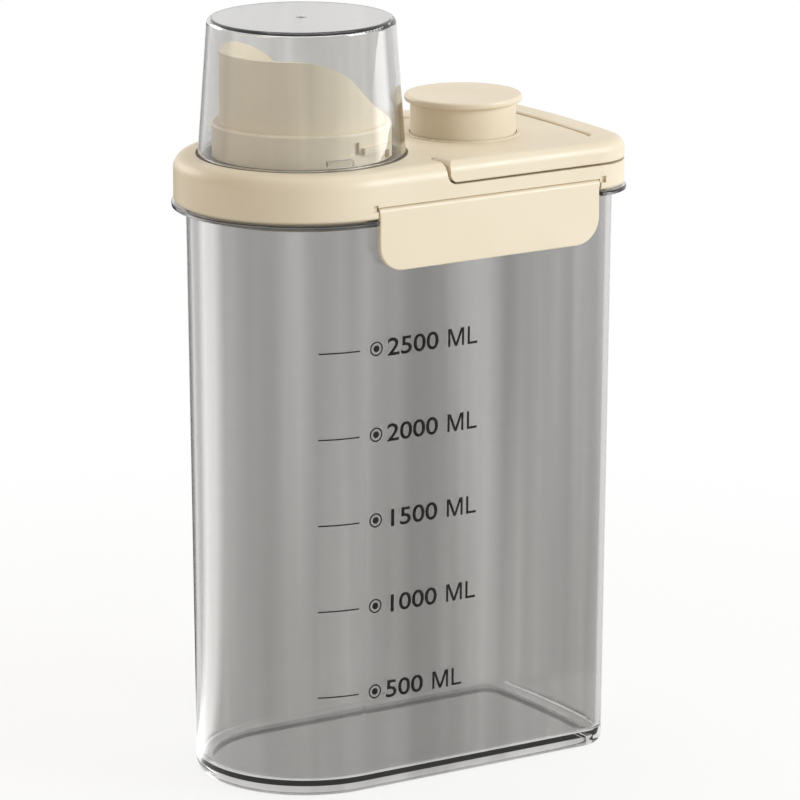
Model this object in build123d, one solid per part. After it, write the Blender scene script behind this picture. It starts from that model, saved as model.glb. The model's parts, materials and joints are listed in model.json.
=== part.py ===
from build123d import *
from math import atan2, cos, pi, radians, sin, sqrt, tan
import os

# Rice bucket: a clear tub with a clamped lid, a pour spout under a measuring cup,
# a fold-down carrying handle and a press pump. Lengths in mm, Z up, front is -Y,
# spout end is -X, origin under the middle of the base.

# Rim of the tub, from which every other outline is set in
rim_width = 108.0
rim_corner = 21.0
rim_bow_radius = 400.0
rim_thickness = 1.7
rim_edge_radius = 0.5
rim_top_z = 240.4

# Tub
rim_overhang = 5.9
tub_wall = 2.3
tub_draft_angle = 0.6
foot_recess = 3.6
foot_width = 9.0
floor_thickness = 2.6
base_radius = 4.0
floor_radius = 3.0

# Lid shell
lid_setback = 0.9
lid_gap = 0.6
lid_height = 19.0
lid_wall = 2.4
lid_edge_radius = 6.0
lid_foot_radius = 1.4
post_radius = 2.5
post_seat_inset = 14.5
post_end_inset = 22.0
post_side_inset = 11.0

# Liner under the lid and its seal
liner_thickness = 2.0
liner_play = 0.1
plug_depth = 4.0
plug_room = 2.8
plug_wall = 1.8
plug_rib = 1.3
plug_rib_height = 0.8
gasket_height = 2.6
gasket_body = 1.3
gasket_fin = 0.8
gasket_fin_rise = 0.9
gasket_play = 0.2

# Carrying handle in its seat around the raised panel
seat_setback = 35.3
seat_depth = 8.7
knob_gap = 11.8
panel_margin = 17.2
panel_corner = 6.0
panel_edge_radius = 0.6
handle_arm_width = 15.0
handle_grip_width = 13.4
handle_height = 8.7
handle_edge_radius = 4.5
handle_foot_radius = 1.0
handle_inner_radius = 0.8
handle_seat_play = 0.7
handle_side_play = 0.5
handle_end_play = 0.8
handle_tail_play = 1.4
handle_tail_radius = 4.0
handle_tip_radius = 3.0
handle_pin_radius = 1.5
handle_pin_depth = 7.5
handle_pin_bite = 7.0
handle_pin_gap = 0.4
handle_boss_radius = 3.4

# Latches hung on the long sides
latch_round_gap = 3.2
latch_end_gap = 23.1
latch_drop = 24.4
latch_thickness = 2.0
latch_corner = 11.0
latch_edge_radius = 0.7
latch_axis_rise = 3.2
latch_play = 0.8
latch_top_play = 0.3
latch_bead_radius = 1.2
latch_bead_inset = 16.9
latch_bead_play = 0.15
latch_bead_drop = 1.5
rim_notch_play = 0.9
hinge_recess_length = 2.4
hinge_recess_height = 2.8
hinge_recess_depth = 1.2
hinge_recess_rise = 1.0
latch_pin_radius = 0.9
latch_pin_bite = 3.0
ear_length = 4.2
ear_depth = 2.6
ear_height = 5.6

# Spout and its seals
spout_offset = 1.0
spout_wall = 1.8
spout_height = 42.7
spout_low_height = 16.0
spout_lip_shares = [(-0.52, 1.0), (-0.04, 0.8), (0.47, 0.24), (0.835, 0.0)]
spout_start_share = 0.6
spout_end_share = 0.4
collar_step = 3.1
collar_height = 13.4
collar_edge_radius = 1.0
spout_flange_reach = 4.1
spout_flange_height = 2.0
spout_gasket_height = 1.2
lug_reach = 1.7
lug_bottom = 4.5
lug_height = 2.5
lug_angle = 24.0
lug_stop_angle = 4.0
lug_turns = [-68.5, 111.5]
slot_depth = 1.2
slot_bottom = 4.4
slot_height = 5.1
slot_angle = 6.2
slot_lag_angle = 17.6
seal_depth = 1.0
seal_brim = 0.5
seal_play = 0.4

# Measuring cup
cup_foot_share = 0.795
cup_top_share = 0.905
cup_room = 5.8
cup_headroom = 12.7
cup_wall = 1.8
cup_edge_radius = 2.4
cup_foot_edge_radius = 0.6
hook_gap = 0.8
hook_bottom = 1.2
hook_height = 2.4
hook_angle = 16.0
hook_lag_angle = 30.0

# Press pump
knob_height = 16.4
knob_brim = 2.5
knob_disc = 3.0
knob_edge_radius = 1.2
sleeve_wall = 2.0
sleeve_reach = 6.6
collar_ring_wall = 1.1
collar_ring_brim = 0.6
collar_ring_height = 0.5
collar_ring_edge_radius = 0.25
pump_barrel_wall = 2.0
pump_depth = 25.6
pump_floor_thickness = 2.0
pump_flange_share = 0.756
pump_flange_reach = 2.4
pump_flange_height = 2.0
piston_wall = 1.6
piston_play = 0.6
piston_lip = 1.0
piston_groove_rise = 1.2
piston_groove_height = 2.0
piston_groove_depth = 0.8
piston_ring_play = 0.25
slide_play = 0.35
fit_play = 0.1
running_play = 0.06
spring_share = 0.55
spring_wire_radius = 0.6
spring_turns = 8
valve_share = 0.64
valve_thickness = 0.9
valve_stem_radius = 1.6
valve_bulb_radius = 2.4
valve_bulb_height = 1.4
vent_share = 0.17
vent_circle_share = 0.63
vent_count = 4

# How far cutting bodies run past the faces they open
overrun = 1.0

# How near an edge has to lie to a level to be picked at it
level_tolerance = 0.05

# Derived levels
rim_under_z = rim_top_z - rim_thickness
floor_z = foot_recess + floor_thickness
lid_bottom_z = rim_top_z + lid_gap
lid_top_z = lid_bottom_z + lid_height
plate_under_z = lid_top_z - lid_wall
liner_top_z = rim_top_z + liner_thickness
plug_low_z = rim_top_z - plug_depth
seat_z = lid_top_z - seat_depth
seat_under_z = seat_z - lid_wall
handle_bottom_z = seat_z + handle_seat_play
handle_top_z = handle_bottom_z + handle_height
handle_pivot_z = handle_bottom_z + handle_tail_radius
latch_axis_z = rim_top_z + latch_axis_rise
latch_bottom_z = latch_axis_z - latch_drop
knob_top_z = lid_top_z + knob_height
knob_under_z = knob_top_z - knob_disc
sleeve_bottom_z = plate_under_z - sleeve_reach
pump_floor_z = plate_under_z - pump_depth
pump_low_z = pump_floor_z - pump_floor_thickness
piston_groove_z = sleeve_bottom_z + piston_groove_rise

# Derived places across the lid
half_width = rim_width / 2
lid_face_y = half_width - lid_setback
lid_wall_y = lid_face_y - lid_wall
panel_half_width = lid_face_y - handle_arm_width - handle_side_play
handle_pin_outer = panel_half_width + handle_side_play + handle_pin_depth
handle_pin_inner = panel_half_width - handle_pin_bite
latch_axis_y = lid_face_y - latch_thickness
ear_inner_y = lid_wall_y - ear_depth
plug_inset = rim_overhang + tub_wall + plug_room

# Derived radii of the cup and the spout, from the outside in
cup_foot_radius = cup_foot_share * lid_face_y
cup_top_radius = cup_top_share * cup_foot_radius
cup_height = spout_height + cup_headroom
seal_radius = cup_foot_radius + seal_brim
collar_radius = cup_foot_radius - cup_room
spout_flange_radius = collar_radius + spout_flange_reach
spout_radius = collar_radius - collar_step
spout_bore_radius = spout_radius - spout_wall

# Derived radii of the pump, from the outside in
pump_flange_radius = pump_flange_share * panel_half_width
pump_barrel_radius = pump_flange_radius - pump_flange_reach
pump_bore_radius = pump_barrel_radius - pump_barrel_wall
piston_radius = pump_bore_radius - piston_play
sleeve_radius = piston_radius - piston_wall
sleeve_bore_radius = sleeve_radius - sleeve_wall
collar_bore_radius = sleeve_radius + slide_play
collar_spigot_radius = collar_bore_radius + collar_ring_wall
collar_ring_radius = collar_spigot_radius + collar_ring_brim
spring_radius = spring_share * sleeve_bore_radius
valve_radius = valve_share * spring_radius
vent_radius = vent_share * valve_radius
vent_circle_radius = vent_circle_share * valve_radius

# Derived places along the lid, which is long enough for the cup, the knob and the handle
knob_reach = cup_foot_radius - spout_offset + knob_gap + collar_ring_radius
panel_reach = knob_reach + collar_ring_radius + panel_margin
lid_reach = panel_reach + handle_end_play + handle_grip_width
half_length = (half_width + lid_reach + lid_setback) / 2
round_x = half_width - half_length
spout_x = round_x - spout_offset
pump_x = round_x + knob_reach
panel_right_x = round_x + panel_reach
lid_right_x = round_x + lid_reach
seat_left_x = round_x + seat_setback
handle_left_x = seat_left_x + handle_tail_play
handle_pivot_x = handle_left_x + handle_tail_radius
latch_left_x = round_x + latch_round_gap
latch_right_x = lid_right_x - latch_end_gap
latch_middle_x = (latch_left_x + latch_right_x) / 2

# Derived slope of the tub's walls
draft_slope = tan(radians(tub_draft_angle))


def end_curve(half, right, corner):
    # Bowed end with two round corners, from the front side to the back side
    bow = rim_bow_radius - half_length + right
    corner_y = half - corner
    knee_x = right - bow + sqrt((bow - corner) ** 2 - corner_y**2)
    end_angle = atan2(corner_y, knee_x - right + bow)
    middle_angle = (pi / 2 + end_angle) / 2
    middle = (knee_x + corner * cos(middle_angle), corner_y + corner * sin(middle_angle))
    end = (knee_x + corner * cos(end_angle), corner_y + corner * sin(end_angle))
    return knee_x, [
        ThreePointArc((knee_x, -half), (middle[0], -middle[1]), (end[0], -end[1])),
        ThreePointArc((end[0], -end[1]), (right, 0), end),
        ThreePointArc(end, middle, (knee_x, half)),
    ]


def plan(inset):
    # Outline set in from the rim: round spout end, bowed handle end
    half = half_width - inset
    knee_x, end_edges = end_curve(half, half_length - inset, rim_corner - inset)
    return make_face(
        Curve()
        + [
            Line((knee_x, half), (round_x, half)),
            ThreePointArc((round_x, half), (round_x - half, 0), (round_x, -half)),
            Line((round_x, -half), (knee_x, -half)),
            *end_edges,
        ]
    )


def prism(face, low_z, high_z):
    return Pos(0, 0, low_z) * extrude(face, high_z - low_z)


def block(low, high):
    size = [b - a for a, b in zip(low, high)]
    return Pos(*low) * Box(*size, align=(Align.MIN, Align.MIN, Align.MIN))


def disc(x, radius, low_z, high_z):
    return Pos(x, 0, low_z) * Cylinder(radius, high_z - low_z, align=(Align.CENTER, Align.CENTER, Align.MIN))


def ring(x, inner, outer, low_z, high_z):
    return disc(x, outer, low_z, high_z) - disc(x, inner, low_z - overrun, high_z + overrun)


def sector(x, inner, outer, low_z, high_z, middle_angle, spread_angle):
    # Part of a ring about a vertical axis
    reach = 2 * outer
    half_angle = radians(spread_angle / 2)
    wedge = Polygon(
        (0, 0),
        (reach * cos(half_angle), -reach * sin(half_angle)),
        (reach * cos(half_angle), reach * sin(half_angle)),
        align=None,
    )
    wedge = Pos(x, 0, 0) * Rot(0, 0, middle_angle) * wedge
    return ring(x, inner, outer, low_z, high_z) & prism(wedge, low_z, high_z)


def bar_x(radius, y, z, low_x, high_x):
    bar = Rot(0, 90, 0) * Cylinder(radius, high_x - low_x)
    return Pos((low_x + high_x) / 2, y, z) * bar


def bar_y(radius, x, z, low_y, high_y):
    bar = Rot(90, 0, 0) * Cylinder(radius, high_y - low_y)
    return Pos(x, (low_y + high_y) / 2, z) * bar


def edges_at(shape, z):
    # Edges that lie flat at one level
    level = []
    for edge in shape.edges():
        box = edge.bounding_box()
        if abs(box.min.Z - z) < level_tolerance and abs(box.max.Z - z) < level_tolerance:
            level.append(edge)
    return level


def drafted(inset_at_rim, low_z, high_z):
    # Prism that follows the tub's draft, measured at the underside of the rim
    inset = inset_at_rim + (rim_under_z - low_z) * draft_slope
    return Pos(0, 0, low_z) * extrude(plan(inset), high_z - low_z, taper=-tub_draft_angle)


def panel_face(play, end_play):
    # Raised panel between the arms of the handle, open towards the spout end
    half = panel_half_width + play
    knee_x, end_edges = end_curve(half, panel_right_x + end_play, panel_corner)
    return make_face(
        Curve()
        + [
            Line((knee_x, half), (round_x, half)),
            Line((round_x, half), (round_x, -half)),
            Line((round_x, -half), (knee_x, -half)),
            *end_edges,
        ]
    )


def side_view(left_x, low_z, high_z, low_radius):
    # Outline seen from the front, with a round lower corner at the tail of the handle
    view = Rectangle(half_length - left_x, high_z - low_z, align=(Align.MIN, Align.MIN))
    view = fillet(view.vertices().sort_by(Axis.X)[:2].sort_by(Axis.Y)[0], low_radius)
    return Plane.XZ * Pos(left_x, low_z) * view


def make_tub():
    body = drafted(rim_overhang, 0, rim_under_z)
    body = fillet(edges_at(body, 0), base_radius)
    rim = prism(plan(0), rim_under_z, rim_top_z)
    rim = fillet(edges_at(rim, rim_under_z) + edges_at(rim, rim_top_z), rim_edge_radius)
    body += rim
    inside = drafted(rim_overhang + tub_wall, floor_z, rim_top_z + overrun)
    inside = fillet(edges_at(inside, floor_z), floor_radius)
    body -= inside
    body -= prism(plan(rim_overhang + foot_width), -overrun, foot_recess)
    notch_y = latch_axis_y - rim_notch_play
    for side in (-1, 1):
        low_y, high_y = sorted((side * notch_y, side * (half_width + overrun)))
        body -= block(
            (latch_left_x - latch_play, low_y, rim_under_z - overrun),
            (latch_right_x + latch_play, high_y, rim_top_z + overrun),
        )
    return body


def make_lid_hollow():
    inset = lid_setback + lid_wall
    low = prism(plan(inset), lid_bottom_z - overrun, seat_under_z)
    high = prism(plan(inset), lid_bottom_z, plate_under_z)
    high = fillet(edges_at(high, plate_under_z), lid_edge_radius - lid_wall)
    high &= block(
        (-half_length, -half_width, lid_bottom_z),
        (seat_left_x - lid_wall, half_width, lid_top_z),
    )
    panel = prism(panel_face(-lid_wall, -lid_wall), lid_bottom_z, plate_under_z)
    return low + high + panel


def make_lid_shell():
    body = prism(plan(lid_setback), lid_bottom_z, lid_top_z)
    body = fillet(edges_at(body, lid_top_z), lid_edge_radius)
    body = fillet(edges_at(body, lid_bottom_z), lid_foot_radius)
    seat_radius = handle_tail_radius + handle_seat_play
    seat = extrude(side_view(seat_left_x, seat_z, lid_top_z + overrun, seat_radius), half_width, both=True)
    body -= seat - prism(panel_face(0, 0), seat_z - overrun, lid_top_z + overrun)
    panel_edges = [e for e in edges_at(body, lid_top_z) if e.center().X > seat_left_x + level_tolerance]
    body = fillet(panel_edges, panel_edge_radius)
    body -= make_lid_hollow()
    for x in (seat_left_x + post_seat_inset, lid_right_x - post_end_inset):
        for side in (-1, 1):
            post = disc(x, post_radius, liner_top_z, seat_under_z)
            body += Pos(0, side * (lid_face_y - post_side_inset), 0) * post
    # Round ports for the spout and the pump, and the seat of the cup's seal
    body -= disc(spout_x, collar_radius + fit_play, lid_bottom_z, lid_top_z + overrun)
    body -= disc(spout_x, seal_radius + seal_play, lid_top_z - seal_depth, lid_top_z + overrun)
    body -= disc(pump_x, collar_spigot_radius + fit_play, lid_bottom_z, lid_top_z + overrun)
    for side in (-1, 1):
        body = fit_handle_boss(body, side)
        body = fit_latch_notch(body, side)
    return body


def fit_handle_boss(body, side):
    wall_y = panel_half_width - lid_wall
    low_y, high_y = sorted((side * (handle_pin_inner - overrun), side * (wall_y + overrun)))
    body += bar_y(handle_boss_radius, handle_pivot_x, handle_pivot_z, low_y, high_y)
    low_y, high_y = sorted((side * handle_pin_inner, side * (panel_half_width + overrun)))
    return body - bar_y(handle_pin_radius, handle_pivot_x, handle_pivot_z, low_y, high_y)


def fit_latch_notch(body, side):
    left = latch_left_x - latch_play
    right = latch_right_x + latch_play
    # Ears behind the wall that carry the pin
    for low_x, high_x in ((left - ear_length, left), (right, right + ear_length)):
        low_y, high_y = sorted((side * ear_inner_y, side * (lid_wall_y + fit_play)))
        body += block((low_x, low_y, lid_bottom_z), (high_x, high_y, lid_bottom_z + ear_height))
    # Opening in the wall for the barrel
    notch_top_z = latch_axis_z + latch_thickness + latch_top_play
    low_y, high_y = sorted((side * ear_inner_y, side * (half_width + overrun)))
    body -= block((left, low_y, lid_bottom_z - overrun), (right, high_y, notch_top_z))
    # Shallow recess beside each end of the barrel
    low_y, high_y = sorted((side * (lid_face_y - hinge_recess_depth), side * (half_width + overrun)))
    top_z = notch_top_z + hinge_recess_rise
    for low_x, high_x in ((left - hinge_recess_length, left), (right, right + hinge_recess_length)):
        body -= block((low_x, low_y, top_z - hinge_recess_height), (high_x, high_y, top_z))
    return body - latch_pin(side)


def latch_pin(side):
    left = latch_left_x - latch_play - latch_pin_bite
    right = latch_right_x + latch_play + latch_pin_bite
    return bar_x(latch_pin_radius, side * latch_axis_y, latch_axis_z, left, right)


def make_latch_pins():
    return Compound([latch_pin(-1), latch_pin(1)])


def make_latch(side):
    width = latch_right_x - latch_left_x
    height = latch_axis_z - latch_bottom_z
    face = Rectangle(width, height, align=(Align.CENTER, Align.MAX))
    lower = face.vertices().group_by(Axis.Y)[0]
    face = fillet(lower, latch_corner)
    plate = Plane((latch_middle_x, side * latch_axis_y, latch_axis_z), x_dir=(1, 0, 0), z_dir=(0, -1, 0)) * face
    plate = extrude(plate, latch_thickness, dir=(0, side, 0))
    plate = fillet(outer_edges(plate, side), latch_edge_radius)
    barrel = bar_x(latch_thickness, side * latch_axis_y, latch_axis_z, latch_left_x, latch_right_x)
    bead_y = latch_axis_y + latch_bead_radius - (rim_notch_play - latch_bead_play)
    bead = bar_x(
        latch_bead_radius,
        side * bead_y,
        rim_under_z - latch_bead_drop,
        latch_left_x + latch_bead_inset,
        latch_right_x - latch_bead_inset,
    )
    hole = bar_x(
        latch_pin_radius + running_play,
        side * latch_axis_y,
        latch_axis_z,
        latch_left_x - overrun,
        latch_right_x + overrun,
    )
    return plate + barrel + bead - hole


def outer_edges(plate, side):
    # Edges of a latch's outer face, without the one at the hinge
    edges = []
    for edge in plate.edges():
        box = edge.bounding_box()
        outside = min(side * box.min.Y, side * box.max.Y) > lid_face_y - level_tolerance
        if outside and box.min.Z < latch_axis_z - level_tolerance:
            edges.append(edge)
    return edges


def make_lid_liner():
    plate = prism(plan(lid_setback + lid_wall + liner_play), rim_top_z, liner_top_z)
    for side in (-1, 1):
        low_y, high_y = sorted((side * (ear_inner_y - fit_play), side * half_width))
        plate -= block(
            (latch_left_x - latch_play - ear_length - fit_play, low_y, rim_top_z - overrun),
            (latch_right_x + latch_play + ear_length + fit_play, high_y, liner_top_z + overrun),
        )
    wall = prism(plan(plug_inset), plug_low_z, rim_top_z)
    rib = prism(plan(plug_inset - plug_rib), plug_low_z, plug_low_z + plug_rib_height)
    inner = prism(plan(plug_inset + plug_wall), plug_low_z - overrun, rim_top_z)
    body = plate + (wall + rib - inner)
    body -= disc(spout_x, spout_bore_radius, plug_low_z, liner_top_z + overrun)
    body -= disc(pump_x, pump_barrel_radius + fit_play, plug_low_z, liner_top_z + overrun)
    return body


def make_lid_gasket():
    low_z = plug_low_z + plug_rib_height
    high_z = low_z + gasket_height
    depth = rim_under_z - low_z
    fin_inset = rim_overhang + tub_wall + gasket_play + depth * draft_slope
    body = prism(plan(plug_inset - gasket_body), low_z, high_z)
    fin_z = low_z + gasket_fin_rise
    body += prism(plan(fin_inset), fin_z, fin_z + gasket_fin)
    return body - prism(plan(plug_inset), low_z - overrun, high_z + overrun)


def make_spout():
    inner = spout_bore_radius
    body = ring(spout_x, inner, spout_radius, liner_top_z, lid_top_z + spout_height + overrun)
    body -= make_lip_cutter()
    flange_top_z = plate_under_z - spout_gasket_height
    flange_low_z = flange_top_z - spout_flange_height
    collar_top_z = lid_top_z + collar_height
    collar = disc(spout_x, collar_radius, flange_low_z, collar_top_z)
    collar = fillet(edges_at(collar, collar_top_z), collar_edge_radius)
    body += collar - disc(spout_x, inner, flange_low_z - overrun, collar_top_z + overrun)
    body += ring(spout_x, inner, spout_flange_radius, flange_low_z, flange_top_z)
    outer = collar_radius + lug_reach
    low_z = lid_top_z + lug_bottom
    high_z = low_z + lug_height
    for turn in lug_turns:
        body += sector(spout_x, inner, outer, low_z, high_z, turn, lug_angle)
        stop_turn = turn + (lug_angle + lug_stop_angle) / 2
        body += sector(spout_x, inner, outer, lid_top_z + hook_bottom, high_z, stop_turn, lug_stop_angle)
        body -= sector(
            spout_x,
            collar_radius - slot_depth,
            outer,
            lid_top_z + slot_bottom,
            lid_top_z + slot_bottom + slot_height,
            turn - slot_lag_angle,
            slot_angle,
        )
    return body


def make_lip_cutter():
    # Lip high over the pouring side, falling in a soft curve to the other side
    drop = spout_height - spout_low_height
    points = []
    for along_share, rise_share in spout_lip_shares:
        x = spout_x + along_share * spout_radius
        points.append((x, lid_top_z + spout_low_height + rise_share * drop))
    flat = [(1, 0), (1, 0)]
    curve = Spline(*points, tangents=flat, tangent_scalars=[spout_start_share, spout_end_share])
    left_x = spout_x - spout_radius - overrun
    right_x = spout_x + spout_radius + overrun
    first_z = points[0][1]
    last_z = points[-1][1]
    high_z = first_z + 2 * overrun
    outline = make_face(
        Curve()
        + [
            Line((left_x, first_z), points[0]),
            curve,
            Line(points[-1], (right_x, last_z)),
            Line((right_x, last_z), (right_x, high_z)),
            Line((right_x, high_z), (left_x, high_z)),
            Line((left_x, high_z), (left_x, first_z)),
        ]
    )
    return extrude(Plane.XZ * outline, 2 * spout_radius, both=True)


def make_spout_gasket():
    return ring(
        spout_x,
        collar_radius + fit_play,
        spout_flange_radius,
        plate_under_z - spout_gasket_height,
        plate_under_z,
    )


def make_cup_seal():
    return ring(spout_x, collar_radius + seal_play, seal_radius, lid_top_z - seal_depth, lid_top_z)


def make_measuring_cup():
    middle = (Align.CENTER, Align.CENTER, Align.MIN)
    outer = Cone(cup_foot_radius, cup_top_radius, cup_height, align=middle)
    outer = fillet(edges_at(outer, cup_height), cup_edge_radius)
    inner_height = cup_height - cup_wall
    slope = (cup_foot_radius - cup_top_radius) / cup_height
    inner_top = cup_top_radius - cup_wall + slope * cup_wall
    inner = Cone(cup_foot_radius - cup_wall, inner_top, inner_height, align=middle)
    inner = fillet(edges_at(inner, inner_height), cup_edge_radius - cup_wall)
    body = outer - inner
    body = fillet(edges_at(body, 0), cup_foot_edge_radius)
    body = Pos(spout_x, 0, lid_top_z) * body
    hook_inner = collar_radius + hook_gap
    hook_top = hook_bottom + hook_height
    hook_outer = cup_foot_radius - slope * hook_top - cup_wall / 2
    for turn in lug_turns:
        body += sector(
            spout_x,
            hook_inner,
            hook_outer,
            lid_top_z + hook_bottom,
            lid_top_z + hook_top,
            turn - hook_lag_angle,
            hook_angle,
        )
    return body


def make_carry_handle():
    body = prism(plan(lid_setback), handle_bottom_z, handle_top_z)
    body = fillet(edges_at(body, handle_top_z), handle_edge_radius)
    body = fillet(edges_at(body, handle_bottom_z), handle_foot_radius)
    # Side view of the arms, rounded at the tail so that it clears the seat as it turns
    view = side_view(handle_left_x, handle_bottom_z, handle_top_z, handle_tail_radius)
    view = fillet(view.vertices().sort_by(Axis.Z)[-2:].sort_by(Axis.X)[0], handle_tip_radius)
    body &= extrude(view, half_width, both=True)
    body -= prism(panel_face(handle_side_play, handle_end_play), seat_z, handle_top_z + overrun)
    inner = [e for e in edges_at(body, handle_top_z) if on_panel_side(e)]
    body = fillet(inner, handle_inner_radius)
    for side in (-1, 1):
        low_y, high_y = sorted((side * panel_half_width, side * handle_pin_outer))
        body -= bar_y(handle_pin_radius + running_play, handle_pivot_x, handle_pivot_z, low_y, high_y)
    return body


def on_panel_side(edge):
    # Whether an edge of the handle runs along the gap around the panel
    box = edge.bounding_box()
    half = panel_half_width + handle_side_play + level_tolerance
    right = panel_right_x + handle_end_play + level_tolerance
    return max(abs(box.min.Y), abs(box.max.Y)) < half and box.max.X < right


def make_handle_pins():
    pins = []
    for side in (-1, 1):
        low_y, high_y = sorted((side * handle_pin_inner, side * (handle_pin_outer - handle_pin_gap)))
        pins.append(bar_y(handle_pin_radius, handle_pivot_x, handle_pivot_z, low_y, high_y))
    return Compound(pins)


def make_pump_knob():
    top = disc(pump_x, sleeve_radius + knob_brim, knob_under_z, knob_top_z)
    top = fillet(top.edges().filter_by(GeomType.CIRCLE), knob_edge_radius)
    return top + ring(pump_x, sleeve_bore_radius, sleeve_radius, sleeve_bottom_z, knob_under_z)


def make_knob_collar():
    inner = collar_bore_radius
    top_z = lid_top_z + collar_ring_height
    cap = ring(pump_x, inner, collar_ring_radius, lid_top_z, top_z)
    cap = fillet(edges_at(cap, top_z), collar_ring_edge_radius)
    return cap + ring(pump_x, inner, collar_spigot_radius, plate_under_z, lid_top_z)


def make_pump_piston():
    low_z = sleeve_bottom_z - piston_lip
    body = disc(pump_x, piston_radius, low_z, plate_under_z - fit_play)
    body -= disc(pump_x, sleeve_radius, sleeve_bottom_z, lid_top_z)
    body -= disc(pump_x, sleeve_bore_radius, low_z - overrun, lid_top_z)
    groove_top_z = piston_groove_z + piston_groove_height
    groove_radius = piston_radius - piston_groove_depth
    return body - ring(pump_x, groove_radius, pump_bore_radius, piston_groove_z, groove_top_z)


def make_piston_ring():
    low_z = piston_groove_z + fit_play
    high_z = piston_groove_z + piston_groove_height - fit_play
    inner = piston_radius - piston_groove_depth
    return ring(pump_x, inner, pump_bore_radius - piston_ring_play, low_z, high_z)


def make_pump_cylinder():
    body = disc(pump_x, pump_barrel_radius, pump_low_z, plate_under_z)
    body += disc(pump_x, pump_flange_radius, plate_under_z - pump_flange_height, plate_under_z)
    body -= disc(pump_x, pump_bore_radius, pump_floor_z, plate_under_z + overrun)
    body -= disc(pump_x, valve_stem_radius + fit_play, pump_low_z - overrun, pump_floor_z + overrun)
    for i in range(vent_count):
        turn = Pos(pump_x, 0, 0) * Rot(0, 0, 360 * i / vent_count)
        body -= turn * disc(vent_circle_radius, vent_radius, pump_low_z - overrun, pump_floor_z + overrun)
    return body


def make_check_valve():
    body = disc(pump_x, valve_radius, pump_floor_z, pump_floor_z + valve_thickness)
    body += disc(pump_x, valve_stem_radius, pump_low_z, pump_floor_z)
    return body + disc(pump_x, valve_bulb_radius, pump_low_z - valve_bulb_height, pump_low_z)


def make_pump_spring():
    low_z = pump_floor_z + spring_wire_radius + fit_play
    high_z = knob_under_z - spring_wire_radius - fit_play
    height = high_z - low_z
    path = Helix(height / spring_turns, height, spring_radius)
    wire = sweep(Plane(path @ 0, z_dir=path % 0) * Circle(spring_wire_radius), path=path)
    return Pos(pump_x, 0, low_z) * wire


makers = {
    "tub": make_tub,
    "lid_shell": make_lid_shell,
    "lid_liner": make_lid_liner,
    "lid_gasket": make_lid_gasket,
    "spout": make_spout,
    "spout_gasket": make_spout_gasket,
    "cup_seal": make_cup_seal,
    "measuring_cup": make_measuring_cup,
    "carry_handle": make_carry_handle,
    "handle_pins": make_handle_pins,
    "pump_knob": make_pump_knob,
    "knob_collar": make_knob_collar,
    "pump_piston": make_pump_piston,
    "piston_ring": make_piston_ring,
    "pump_spring": make_pump_spring,
    "pump_cylinder": make_pump_cylinder,
    "check_valve": make_check_valve,
    "latch_pins": make_latch_pins,
}

os.makedirs("parts", exist_ok=True)
for name, maker in makers.items():
    export_step(maker(), f"parts/{name}.step")
export_step(make_latch(-1), "parts/front_latch.step")
export_step(make_latch(1), "parts/back_latch.step")
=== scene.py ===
# %% [markdown]
# # A clear rice bucket with a beige clamp lid
#
# The imported model is loaded first. It is the fixed frame of this lesson: every
# solid is already in metres, in its place and on the body that it moves with.

# %% Load the frame
import json
import math

import bmesh
import bpy
from mathutils import Matrix, Vector


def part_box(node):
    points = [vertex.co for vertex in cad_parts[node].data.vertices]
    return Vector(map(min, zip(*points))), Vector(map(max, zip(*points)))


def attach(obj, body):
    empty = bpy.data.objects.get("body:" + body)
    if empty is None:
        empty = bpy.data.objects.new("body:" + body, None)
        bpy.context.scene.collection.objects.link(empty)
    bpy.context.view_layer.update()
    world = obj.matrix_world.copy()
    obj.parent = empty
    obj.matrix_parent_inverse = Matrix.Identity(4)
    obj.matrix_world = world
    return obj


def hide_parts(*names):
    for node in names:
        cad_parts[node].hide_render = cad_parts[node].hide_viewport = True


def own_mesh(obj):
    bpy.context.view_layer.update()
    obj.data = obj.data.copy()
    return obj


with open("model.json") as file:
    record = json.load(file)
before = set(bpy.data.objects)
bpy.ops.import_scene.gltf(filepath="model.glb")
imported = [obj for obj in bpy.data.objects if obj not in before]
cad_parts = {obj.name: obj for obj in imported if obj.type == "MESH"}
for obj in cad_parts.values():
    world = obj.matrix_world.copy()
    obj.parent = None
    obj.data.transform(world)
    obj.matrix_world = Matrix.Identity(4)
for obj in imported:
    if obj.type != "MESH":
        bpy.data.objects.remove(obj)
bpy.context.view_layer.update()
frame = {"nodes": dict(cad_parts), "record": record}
nodes = frame["nodes"]
scene = bpy.context.scene

# %% [markdown]
# ## The camera
#
# The bucket is seen from its front left corner, a little above the lid, through
# a long lens. A long lens far away keeps the upright edges almost parallel, so
# we place the camera more than two metres off and narrow its view to match.
# Turn and rise are angles around a point in the middle of the bucket, because
# that is easier to adjust than three coordinates.

# %% Camera
VIEW_TURN = math.radians(-32.38)
VIEW_RISE = math.radians(14.16)
VIEW_DISTANCE = 2.1867
VIEW_TARGET = Vector((0.006567, 0.0, 0.1500))
VIEW_LENS = 237.3

view_back = Vector((
    math.sin(VIEW_TURN) * math.cos(VIEW_RISE),
    -math.cos(VIEW_TURN) * math.cos(VIEW_RISE),
    math.sin(VIEW_RISE),
))
camera_data = bpy.data.cameras.new("photo_camera")
camera_data.sensor_width = 36.0
camera_data.lens = VIEW_LENS
camera_data.clip_end = 20.0
camera = bpy.data.objects.new("photo_camera", camera_data)
scene.collection.objects.link(camera)
camera.location = VIEW_TARGET + view_back * VIEW_DISTANCE
camera.rotation_euler = view_back.to_track_quat("Z", "Y").to_euler()
scene.camera = camera
print("camera at", [round(v, 3) for v in camera.location])

# %% [markdown]
# ## White surroundings
#
# Clear plastic shows what is around it, so the surroundings are part of its
# look. The world is white for rays that look straight at it, in a reflection
# or through the plastic. For all other rays it is a dim, even light, so that
# the white room doesn't wash out the shading of the beige lid.

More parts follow.
